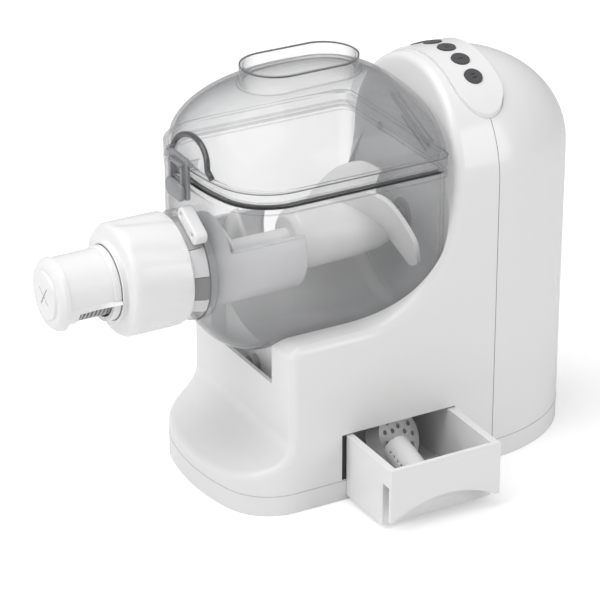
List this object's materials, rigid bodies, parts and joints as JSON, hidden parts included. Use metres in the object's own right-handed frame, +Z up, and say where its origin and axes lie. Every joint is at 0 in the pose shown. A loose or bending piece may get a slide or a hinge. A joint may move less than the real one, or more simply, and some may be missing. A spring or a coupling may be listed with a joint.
{
  "type": "electric pasta maker",
  "caption": "White electric pasta maker with a clear mixing bowl and lid, an extruding nose with a cutter hood, and a side drawer for its shaping discs",
  "frame": {"origin": "On the table below the middle of the body, where the column's centre plane crosses the bowl's back end", "axes": "+X toward the drawer, -Y toward the nose, +Z up"},
  "size_m": [0.2085, 0.409, 0.3075],
  "materials": {
    "white_shell": "gloss white moulding",
    "rubber": "matte black rubber",
    "button_grey": "dark grey keys",
    "dark_plastic": "black moulding",
    "board_green": "lacquered circuit board",
    "clear_plastic": "smoke-clear plastic",
    "frosted_plastic": "frosted clear plastic",
    "white_plastic": "satin white moulding",
    "gear_plastic": "natural gear plastic",
    "box_plastic": "grey glass-filled moulding",
    "steel": "plain steel",
    "can_steel": "plated steel can",
    "bronze": "sintered bronze"
  },
  "bodies": {
    "housing": {"front_housing": "white_shell", "rear_cover": "white_shell", "base_plate": "white_shell", "base_screws": "steel", "rubber_foot_1": "rubber", "rubber_foot_2": "rubber", "rubber_foot_3": "rubber", "rubber_foot_4": "rubber", "control_panel": "white_shell", "tact_switches": "dark_plastic", "control_board": "board_green", "gearbox_housing": "box_plastic", "gearbox_cover": "box_plastic", "compound_pin": "steel", "front_bush": "bronze", "rear_bush": "bronze", "shaft_seal": "rubber", "motor_can": "can_steel", "power_board": "board_green", "cord_inlet": "dark_plastic"},
    "bowl": {"bowl": "clear_plastic", "neck_lock_block": "white_shell", "bowl_gasket": "rubber", "extruder_barrel": "frosted_plastic", "fitted_disc": "white_plastic"},
    "lid": {"lid": "clear_plastic", "latch_pin": "steel"},
    "latch": {"latch": "clear_plastic"},
    "auger": {"auger": "white_plastic"},
    "drive": {"drive_shaft": "steel", "output_gear": "gear_plastic"},
    "compound": {"compound_gear": "gear_plastic"},
    "rotor": {"motor_rotor": "steel", "motor_pinion": "steel", "cooling_fan": "dark_plastic"},
    "ring": {"locking_ring": "white_shell"},
    "hood": {"cutter_hood": "white_shell", "hood_cap": "white_shell"},
    "drawer": {"drawer": "white_shell", "stored_disc_1": "white_plastic", "stored_disc_2": "white_plastic", "stored_disc_3": "white_plastic"},
    "release_button": {"release_button": "button_grey"},
    "button_1": {"button_1": "button_grey"},
    "button_2": {"button_2": "button_grey"},
    "button_3": {"button_3": "button_grey"},
    "button_4": {"button_4": "button_grey"},
    "button_5": {"button_5": "button_grey"}
  },
  "joints": [
    {"name": "bowl_slide", "type": "slide", "parent": "housing", "child": "bowl", "axis": [0, -1, 0], "range_m": [0, 0.06]},
    {"name": "lid_lift", "type": "slide", "parent": "bowl", "child": "lid", "axis": [0, 0, 1], "range_m": [0, 0.05]},
    {"name": "latch_swing", "type": "hinge", "parent": "lid", "child": "latch", "pos_m": [0, -0.1505, 0.2535], "axis": [-1, 0, 0], "range_deg": [0, 100]},
    {"name": "auger_spin", "type": "hinge", "parent": "bowl", "child": "auger", "pos_m": [0, 0, 0.1734], "axis": [0, 1, 0], "continuous": true},
    {"name": "drive_spin", "type": "hinge", "parent": "housing", "child": "drive", "pos_m": [0, 0.045, 0.1734], "axis": [0, 1, 0], "continuous": true},
    {"name": "compound_spin", "type": "hinge", "parent": "housing", "child": "compound", "pos_m": [0, 0.045, 0.1164], "axis": [0, 1, 0], "continuous": true},
    {"name": "rotor_spin", "type": "hinge", "parent": "housing", "child": "rotor", "pos_m": [0, 0.09, 0.0804], "axis": [0, 1, 0], "continuous": true},
    {"name": "ring_turn", "type": "hinge", "parent": "bowl", "child": "ring", "pos_m": [0, -0.18, 0.1734], "axis": [0, -1, 0], "range_deg": [0, 40]},
    {"name": "hood_turn", "type": "hinge", "parent": "ring", "child": "hood", "pos_m": [0, -0.22, 0.1734], "axis": [0, -1, 0], "continuous": true},
    {"name": "drawer_slide", "type": "slide", "parent": "housing", "child": "drawer", "axis": [1, 0, 0], "range_m": [-0.0613, 0.015]},
    {"name": "release_press", "type": "slide", "parent": "housing", "child": "release_button", "axis": [0, 1, 0], "range_m": [0, 0.003], "stiffness_N_per_m": 900},
    {"name": "button_1_press", "type": "slide", "parent": "housing", "child": "button_1", "axis": [0.4787, 0, -0.878], "range_m": [0, 0.0015], "stiffness_N_per_m": 800},
    {"name": "button_2_press", "type": "slide", "parent": "housing", "child": "button_2", "axis": [0.247, 0, -0.969], "range_m": [0, 0.0015], "stiffness_N_per_m": 800},
    {"name": "button_3_press", "type": "slide", "parent": "housing", "child": "button_3", "axis": [0, 0, -1], "range_m": [0, 0.0015], "stiffness_N_per_m": 800},
    {"name": "button_4_press", "type": "slide", "parent": "housing", "child": "button_4", "axis": [-0.247, 0, -0.969], "range_m": [0, 0.0015], "stiffness_N_per_m": 800},
    {"name": "button_5_press", "type": "slide", "parent": "housing", "child": "button_5", "axis": [-0.4787, 0, -0.878], "range_m": [0, 0.0015], "stiffness_N_per_m": 800}
  ],
  "couplings": [
    {"joint": "drive_spin", "follows": "auger_spin", "ratio": 1},
    {"joint": "compound_spin", "follows": "auger_spin", "ratio": -4.4286},
    {"joint": "rotor_spin", "follows": "auger_spin", "ratio": 22.143}
  ]
}
